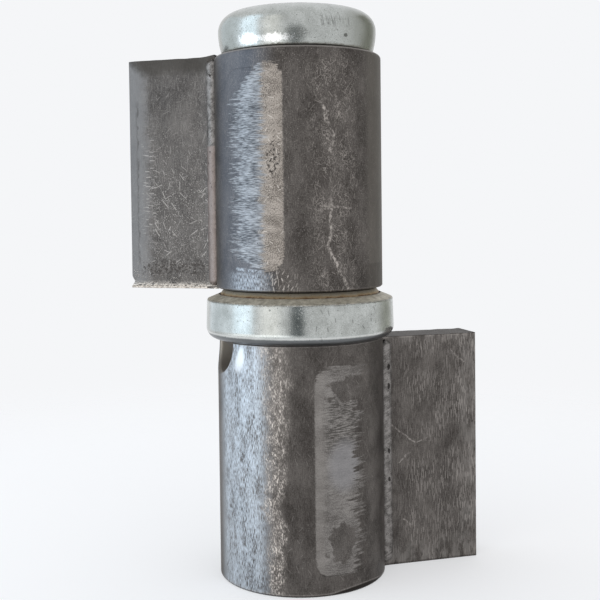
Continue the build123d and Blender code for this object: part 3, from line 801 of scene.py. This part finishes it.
# the two leaves: plates with a rolled-over front, sheared edges and a bevelled root
lowerLeaf = {"bearing": lowerBearing, "front": -1, "node": "lower_leaf", "seed": 2.0,
             "reach": leafReach("lower_leaf"), "rollWidth": 1.2, "rollDrop": 0.12,
             "topWidth": 1.0, "topDrop": 0.1, "upset": 0.0, "wave": 0.16, "dent": 0.05, "nick": 0.0}
upperLeaf = {"bearing": upperBearing, "front": 1, "node": "upper_leaf", "seed": 5.0,
             "reach": leafReach("upper_leaf"), "rollWidth": 6.4, "rollDrop": 1.1,
             "topWidth": 3.6, "topDrop": 0.5, "upset": 0.5, "wave": 0.1, "dent": 0.05, "nick": 0.7}
leafEdge = {"waveSize": 3.0, "dentSize": 7.0, "footWidth": 0.8, "footDrop": 0.1, "rearWidth": 0.8,
            "rearDrop": 0.12, "nickLevel": 1.7, "nickHeight": 0.8, "nickReach": 1.6,
            "columnSteps": (0.3, 0.8, 6.5), "rowSteps": (0.006, 0.016, 0.07)}
leafRoot = {"reach": 20.35, "half": 3.25, "bevelEnd": 22.33, "upsetReach": 25.0, "closed": 2.6,
            "swell": 0.35, "swellReach": 2.7}


def spaced(low, high, fine, coarse, edge):
    # stations along a side: fine steps near both ends, coarse ones between
    stations = [low]
    while stations[-1] < high - 1e-6:
        gap = min(stations[-1] - low, high - stations[-1])
        stations.append(min(high, stations[-1] + (fine if gap < edge else coarse)))
    if stations[-1] - stations[-2] < fine / 2:
        del stations[-2]
    return stations


def leafPlate(name, leaf):
    low, high = cadSize(leaf["node"])
    out = heading(leaf["bearing"])
    face = heading(leaf["bearing"] + 90 * leaf["front"])
    seed = leaf["seed"]

    def lumps(size, *spot):
        return noise.noise(Vector(spot) / size + Vector((seed, seed * 2, seed * 3)))

    def topEdge(along):
        share = max(0.0, (leafRoot["upsetReach"] - along) / (leafRoot["upsetReach"] - leafRoot["reach"]))
        wave = leaf["wave"] * (lumps(leafEdge["waveSize"], along, 0, 0) - 0.5)
        return high.z + leaf["upset"] * share ** 1.5 + wave

    def bevelFace(along, level, top):
        # the weld bevel, filled up to the face at both ends
        share = (along - leafRoot["reach"]) / (leafRoot["bevelEnd"] - leafRoot["reach"])
        filled = max(0.0, 1 - min(level - low.z, top - level) / leafRoot["closed"]) ** 0.5
        return leafRoot["half"] + (halfLeaf - leafRoot["half"]) * max(share, filled)

    def frontFace(along, level, top):
        if along < leafRoot["bevelEnd"]:
            return bevelFace(along, level, top)
        outer = max(0.0, 1 - (leaf["reach"] - along) / leaf["rollWidth"])
        upper = max(0.0, 1 - (top - level) / leaf["topWidth"])
        foot = max(0.0, 1 - (level - low.z) / leafEdge["footWidth"])
        drop = max(leaf["rollDrop"] * outer ** 2, leaf["topDrop"] * upper ** 2,
                   leafEdge["footDrop"] * foot ** 2)
        near = max(0.0, (leafRoot["upsetReach"] - along) / leafRoot["swellReach"])
        rise = leafRoot["swell"] * leaf["upset"] * near ** 2
        return halfLeaf - drop + rise + leaf["dent"] * lumps(leafEdge["dentSize"], along, level, 0)

    def rearFace(along, level, top):
        if along < leafRoot["bevelEnd"]:
            return -bevelFace(along, level, top)
        outer = max(0.0, 1 - (leaf["reach"] - along) / leafEdge["rearWidth"])
        return -halfLeaf + leafEdge["rearDrop"] * outer ** 2

    def nicked(along, level):
        # the small bite out of the outer edge, just above the foot
        tall = math.exp(-((level - low.z - leafEdge["nickLevel"]) / leafEdge["nickHeight"]) ** 2)
        return leaf["nick"] * tall * max(0.0, 1 - (leaf["reach"] - along) / leafEdge["nickReach"])

    columns = [leafRoot["reach"]] + spaced(leafRoot["bevelEnd"], leaf["reach"], *leafEdge["columnSteps"])
    rows = spaced(0.0, 1.0, *leafEdge["rowSteps"])
    shape = bmesh.new()
    sheets = []
    for surface in (frontFace, rearFace):
        sheet = []
        for row in rows:
            line = []
            for along in columns:
                top = topEdge(along)
                level = low.z + (top - low.z) * row
                spot = out * (along - nicked(along, level)) + face * surface(along, level, top)
                spot += Vector((0, 0, level))
                line.append(shape.verts.new(spot * mm))
            sheet.append(line)
        sheets.append(sheet)
    front, rear = sheets
    lastRow, lastColumn = len(rows) - 1, len(columns) - 1
    for row in range(lastRow):
        for column in range(lastColumn):
            for sheet in sheets:
                shape.faces.new((sheet[row][column], sheet[row][column + 1],
                                 sheet[row + 1][column + 1], sheet[row + 1][column]))
        for column in (0, lastColumn):
            shape.faces.new((front[row][column], front[row + 1][column],
                             rear[row + 1][column], rear[row][column]))
    for column in range(lastColumn):
        for row in (0, lastRow):
            shape.faces.new((front[row][column], front[row][column + 1],
                             rear[row][column + 1], rear[row][column]))
    bmesh.ops.recalc_face_normals(shape, faces=shape.faces)
    mesh = bpy.data.meshes.new(name)
    shape.to_mesh(mesh)
    shape.free()
    smoothEdges(mesh, 30)
    piece = bpy.data.objects.new(name, mesh)
    bpy.context.scene.collection.objects.link(piece)
    return piece


print("leaves")
lowerPlate = leafPlate("lowerLeafPlate", lowerLeaf)
lowerPlate.data.materials.append(finishes["lowerLeaf"])
settle(lowerPlate, "lower_half", "leaf_steel", "lower_leaf")
upperPlate = leafPlate("upperLeafPlate", upperLeaf)
upperPlate.data.materials.append(finishes["upperLeaf"])
settle(upperPlate, "upper_half", "leaf_steel", "upper_leaf")


def edgeBeadTree():
    # a bead that follows a straight edge: lumpy, oval and drawn in at both ends
    tree = bpy.data.node_groups.new("edgeBead", "GeometryNodeTree")
    for label, kind in (("Start", "Vector"), ("Run", "Vector"), ("Across", "Vector"), ("Outward", "Vector"),
                        ("Lump Size", "Float"), ("Lump Depth", "Float"), ("First Taper", "Float"),
                        ("Last Taper", "Float"), ("Seed", "Float"), ("Sides", "Int"), ("Steps", "Int"),
                        ("Material", "Material")):
        tree.interface.new_socket(name=label, in_out="INPUT", socket_type="NodeSocket" + kind)
    tree.interface.new_socket(name="Geometry", in_out="OUTPUT", socket_type="NodeSocketGeometry")
    given = tree.nodes.new("NodeGroupInput").outputs

    def add(kind, inputs, **settings):
        node = tree.nodes.new(kind)
        for key, value in settings.items():
            setattr(node, key, value)
        for key, value in inputs.items():
            if isinstance(value, bpy.types.NodeSocket):
                tree.links.new(value, node.inputs[key])
            else:
                node.inputs[key].default_value = value
        return node.outputs[0]

    def sums(operation, first, second=0.0):
        return add("ShaderNodeMath", {0: first, 1: second}, operation=operation)

    def scaled(vector, factor):
        return add("ShaderNodeVectorMath", {0: vector, "Scale": factor}, operation="SCALE")

    def joined(first, second):
        return add("ShaderNodeVectorMath", {0: first, 1: second}, operation="ADD")

    def eased(value, low, high):
        return add("ShaderNodeMapRange", {"Value": value, "From Min": low, "From Max": high},
                   interpolation_type="SMOOTHERSTEP")

    sheet = add("GeometryNodeMeshGrid", {"Size X": 1.0, "Size Y": 1.0, "Vertices X": given["Sides"],
                                         "Vertices Y": given["Steps"]})
    split = tree.nodes.new("ShaderNodeSeparateXYZ")
    tree.links.new(add("GeometryNodeInputPosition", {}), split.inputs[0])
    angle = sums("MULTIPLY", split.outputs["X"], 2 * math.pi)
    share = sums("ADD", split.outputs["Y"], 0.5)
    taper = sums("MULTIPLY", eased(share, 0.0, given["First Taper"]),
                 eased(sums("SUBTRACT", 1.0, share), 0.0, given["Last Taper"]))
    cosine, sine = sums("COSINE", angle), sums("SINE", angle)
    axis = joined(given["Start"], scaled(given["Run"], share))
    rim = joined(scaled(given["Across"], cosine), scaled(given["Outward"], sine))
    closeness = sums("DIVIDE", 1.0, given["Lump Size"])
    lump = add("ShaderNodeTexNoise", {"Vector": joined(axis, rim), "W": given["Seed"], "Detail": 3.0,
                                      "Scale": closeness}, noise_dimensions="4D")
    swell = sums("MULTIPLY", sums("SUBTRACT", lump, 0.5), given["Lump Depth"])
    spread = sums("MULTIPLY", taper, sums("ADD", swell, 1.0))
    place = joined(axis, scaled(rim, spread))
    sheet = add("GeometryNodeStoreNamedAttribute", {"Geometry": sheet, "Name": "crest", "Value": sine},
                data_type="FLOAT", domain="POINT")
    bead = add("GeometryNodeSetPosition", {"Geometry": sheet, "Position": place})
    bead = add("GeometryNodeMergeByDistance", {"Geometry": bead, "Distance": 2e-6})
    bead = add("GeometryNodeSetShadeSmooth", {0: bead})
    bead = add("GeometryNodeRealizeInstances", {"Geometry": bead})
    bead = add("GeometryNodeSetMaterial", {"Geometry": bead, "Material": given["Material"]})
    tree.links.new(bead, tree.nodes.new("NodeGroupOutput").inputs["Geometry"])
    return tree


beadTree = edgeBeadTree()


def layBead(name, sizes):
    piece = bpy.data.objects.new(name, bpy.data.meshes.new(name))
    bpy.context.scene.collection.objects.link(piece)
    modifier = piece.modifiers.new("bead", "NODES")
    modifier.node_group = beadTree
    for socket in beadTree.interface.items_tree:
        if socket.in_out == "INPUT":
            modifier[socket.identifier] = sizes[socket.name]
    laid = bpy.data.meshes.new_from_object(piece.evaluated_get(bpy.context.evaluated_depsgraph_get()))
    piece.modifiers.clear()
    shape = bmesh.new()
    shape.from_mesh(laid)
    bmesh.ops.recalc_face_normals(shape, faces=shape.faces)
    shape.to_mesh(laid)
    shape.free()
    laid.name = name
    piece.data = laid
    return piece


# weld beads in the grooves between the barrels and the leaves
weld = {"toeBarrel": (20.1, 6.3), "toeLeaf": (22.75, 5.25), "sink": 0.8, "halfWidth": 1.75,
        "halfDepth": 1.25, "overrun": 0.6, "taper": 0.03, "lumpSize": 2.2, "lumpDepth": 0.28,
        "sides": 33, "steps": 260}


def weldBead(name, leaf, front, node, seed):
    low, high = cadSize(node)
    out = heading(leaf["bearing"])
    face = heading(leaf["bearing"] + 90 * front)
    barrelToe = out * weld["toeBarrel"][0] + face * weld["toeBarrel"][1]
    leafToe = out * weld["toeLeaf"][0] + face * weld["toeLeaf"][1]
    across = (leafToe - barrelToe).normalized()
    outward = across.cross(Vector((0, 0, 1)))
    if outward.dot(face) < 0:
        outward.negate()
    middle = (barrelToe + leafToe) / 2 - outward * weld["sink"]
    return layBead(name, {
        "Start": (middle + Vector((0, 0, low.z - weld["overrun"]))) * mm,
        "Run": Vector((0, 0, high.z - low.z + 2 * weld["overrun"])) * mm,
        "Across": across * weld["halfWidth"] * mm, "Outward": outward * weld["halfDepth"] * mm,
        "Lump Size": weld["lumpSize"] * mm, "Lump Depth": weld["lumpDepth"], "First Taper": weld["taper"],
        "Last Taper": weld["taper"], "Seed": seed, "Sides": weld["sides"], "Steps": weld["steps"],
        "Material": finishes["weld"]})


print("weld beads and burr")
for name, leaf, front, node, body, seed in (
        ("lowerWeldFront", lowerLeaf, -1, "lower_weld_front", "lower_half", 1.0),
        ("lowerWeldRear", lowerLeaf, 1, "lower_weld_rear", "lower_half", 2.0),
        ("upperWeldFront", upperLeaf, 1, "upper_weld_front", "upper_half", 3.0),
        ("upperWeldRear", upperLeaf, -1, "upper_weld_rear", "upper_half", 4.0)):
    bead = weldBead(name, leaf, front, node, seed)
    settle(bead, body, "weld_metal", node)

# the sheared burr along the foot of the upper leaf's front
burr = {"start": 22.6, "length": 21.8, "inset": 0.14, "rise": 0.34, "radius": 0.32, "lumpSize": 1.4,
        "lumpDepth": 1.3, "tapers": (0.03, 0.01), "seed": 6.0, "sides": 13, "steps": 240}
burrLow = cadSize("upper_leaf")[0].z
burrOut = heading(upperBearing)
burrFace = heading(upperBearing + 90)
burrStart = burrOut * burr["start"] + burrFace * (halfLeaf - burr["inset"])
burrStart += Vector((0, 0, burrLow + burr["rise"]))
burrEdge = layBead("upperLeafBurr", {
    "Start": burrStart * mm, "Run": burrOut * burr["length"] * mm, "Across": burrFace * burr["radius"] * mm,
    "Outward": Vector((0, 0, -burr["radius"] * mm)), "Lump Size": burr["lumpSize"] * mm,
    "Lump Depth": burr["lumpDepth"], "First Taper": burr["tapers"][0], "Last Taper": burr["tapers"][1],
    "Seed": burr["seed"], "Sides": burr["sides"], "Steps": burr["steps"], "Material": finishes["burr"]})
settle(burrEdge, "upper_half", "leaf_steel")

# camera: a little above the bearing, seeing the hinge from its front
view = {"bearing": 254.43, "distance": 259.2, "height": 91.8, "pitch": 2.0, "roll": 0.653,
        "lens": 61.18, "sensor": 36.0, "shiftX": 0.0012, "shiftY": -0.0906}


def placeCamera():
    lens = bpy.data.cameras.new("camera")
    lens.sensor_width = view["sensor"]
    lens.lens = view["lens"]
    lens.shift_x = view["shiftX"]
    lens.shift_y = view["shiftY"]
    lens.clip_start = 0.01
    camera = bpy.data.objects.new("camera", lens)
    away = heading(view["bearing"])
    pitch = math.radians(view["pitch"])
    roll = math.radians(view["roll"])
    back = away * math.cos(pitch) + Vector((0, 0, math.sin(pitch)))
    right = Vector((0, 0, 1)).cross(away)
    up = back.cross(right)
    turned = Matrix((right * math.cos(roll) - up * math.sin(roll),
                     right * math.sin(roll) + up * math.cos(roll), back)).transposed()
    place = away * view["distance"] * mm + Vector((0, 0, view["height"] * mm))
    camera.matrix_world = Matrix.Translation(place) @ turned.to_4x4()
    bpy.context.scene.collection.objects.link(camera)
    bpy.context.scene.camera = camera


# light: a pale room, a tall window to the left, a warmer wall beside it and a dark flag behind the camera
light = {
    "room": seen(245, 246, 248),
    "window": {"bearing": 183.0, "distance": 0.34, "height": 0.21, "width": 0.17, "tall": 0.42,
               "radiance": 1.15, "colour": (0.62, 0.82, 1.0)},
    "sky": {"bearing": 140.0, "distance": 0.6, "height": 0.25, "width": 0.6, "tall": 0.6,
            "radiance": 0.3, "colour": (0.5, 0.76, 1.0)},
    "wall": {"bearing": 219.0, "distance": 0.6, "height": 0.2, "width": 0.24, "tall": 0.75,
             "radiance": 0.45, "colour": (1.0, 0.95, 0.88)},
    "flag": {"bearing": 251.0, "distance": 0.5, "height": -0.02, "width": 0.15, "tall": 0.32,
             "tone": (0.06, 0.08, 0.085), "soft": 0.1},
    "side": {"bearing": 22.0, "distance": 0.55, "height": 0.15, "width": 0.6, "tall": 0.7,
             "tone": (0.46, 0.46, 0.40), "soft": 0.9},
    "board": {"bearing": 205.0, "distance": 0.24, "height": 0.002, "width": 0.3, "tall": 0.2,
              "radiance": 0.9, "colour": (0.95, 0.98, 1.0)},
    "floorTone": (0.56, 0.56, 0.562), "floorGlow": 0.44, "floorReach": 0.9, "floorFade": (0.14, 0.33),
}


def facing(spec):
    # a frame at the given bearing and distance that looks back at the hinge
    away = heading(spec["bearing"])
    place = away * spec["distance"] + Vector((0, 0, spec["height"]))
    return Matrix.Translation(place) @ away.to_track_quat("Z", "Y").to_matrix().to_4x4()


def panel(name, spec, place):
    lamp = bpy.data.lights.new(name, "AREA")
    lamp.shape = "RECTANGLE"
    lamp.size = spec["width"]
    lamp.size_y = spec["tall"]
    lamp.color = spec["colour"]
    lamp.energy = spec["radiance"] * math.pi * spec["width"] * spec["tall"]
    holder = bpy.data.objects.new(name, lamp)
    holder.matrix_world = place
    holder.visible_camera = False
    bpy.context.scene.collection.objects.link(holder)


def lyingDown(spec):
    # a frame on the floor at the given bearing and distance that looks up
    place = heading(spec["bearing"]) * spec["distance"] + Vector((0, 0, spec["height"]))
    turn = Matrix.Rotation(math.radians(spec["bearing"] - 90), 4, "Z") @ Matrix.Rotation(math.pi, 4, "X")
    return Matrix.Translation(place) @ turn


def flag(name, spec):
    mesh = bpy.data.meshes.new(name)
    halfWide, halfTall = spec["width"] / 2, spec["tall"] / 2
    sheet = [(wide * halfWide, tall * halfTall, 0) for wide, tall in ((-1, -1), (1, -1), (1, 1), (-1, 1))]
    mesh.from_pydata(sheet, [], [(0, 1, 2, 3)])
    card = bpy.data.objects.new(name, mesh)
    card.matrix_world = facing(spec)
    finish = Finish(name + "Cloth")
    weave = finish.cloud(finish.x / 2, finish.y / 2, 1.0)
    fade = abs(finish.x).climb(halfWide * (1 - spec["soft"]) / mm, halfWide / mm)
    finish.done(finish.shade(spec["tone"], weave * 0.4 + 0.8), 0.9, 0.0)
    finish.put(finish.shader.inputs["Alpha"], 1 - fade)
    mesh.materials.append(finish.material)
    card.visible_camera = False
    card.visible_diffuse = False
    bpy.context.scene.collection.objects.link(card)


def layFloor():
    mesh = bpy.data.meshes.new("floor")
    shape = bmesh.new()
    bmesh.ops.create_circle(shape, cap_ends=True, segments=96, radius=light["floorReach"])
    shape.to_mesh(mesh)
    shape.free()
    floor = bpy.data.objects.new("floor", mesh)
    finish = Finish("paleFloor")
    far = finish.math("SQRT", finish.x * finish.x + finish.y * finish.y)
    near, end = light["floorFade"]
    speckle = finish.cloud(finish.x / 30, finish.y / 30, 2.0)
    finish.done(finish.shade(light["floorTone"], speckle * 0.01 + 0.995), 1.0, 0.0)
    finish.shader.inputs["Specular IOR Level"].default_value = 0.0
    finish.shader.inputs["Emission Color"].default_value = (*light["room"], 1)
    path = finish.add("LightPath").outputs
    sight = Field(finish, path["Is Camera Ray"]).most(Field(finish, path["Is Glossy Ray"]))
    sight = sight.most(Field(finish, path["Is Transmission Ray"]))
    finish.put(finish.shader.inputs["Emission Strength"], sight * light["floorGlow"])
    finish.put(finish.shader.inputs["Alpha"], far.climb(end / mm, near / mm))
    mesh.materials.append(finish.material)
    bpy.context.scene.collection.objects.link(floor)


def lightRoom():
    world = bpy.data.worlds.new("room")
    world.use_nodes = True
    shade = world.node_tree.nodes["Background"]
    shade.inputs["Color"].default_value = (*light["room"], 1)
    shade.inputs["Strength"].default_value = 1.0
    bpy.context.scene.world = world
    for spec in ("window", "sky", "wall"):
        panel(spec + "Light", light[spec], facing(light[spec]))
    panel("boardLight", light["board"], lyingDown(light["board"]))
    flag("darkFlag", light["flag"])
    flag("sideFlag", light["side"])
    layFloor()


print("camera and light")
placeCamera()
lightRoom()
bpy.context.scene.view_settings.view_transform = "Standard"

print("scene ready")
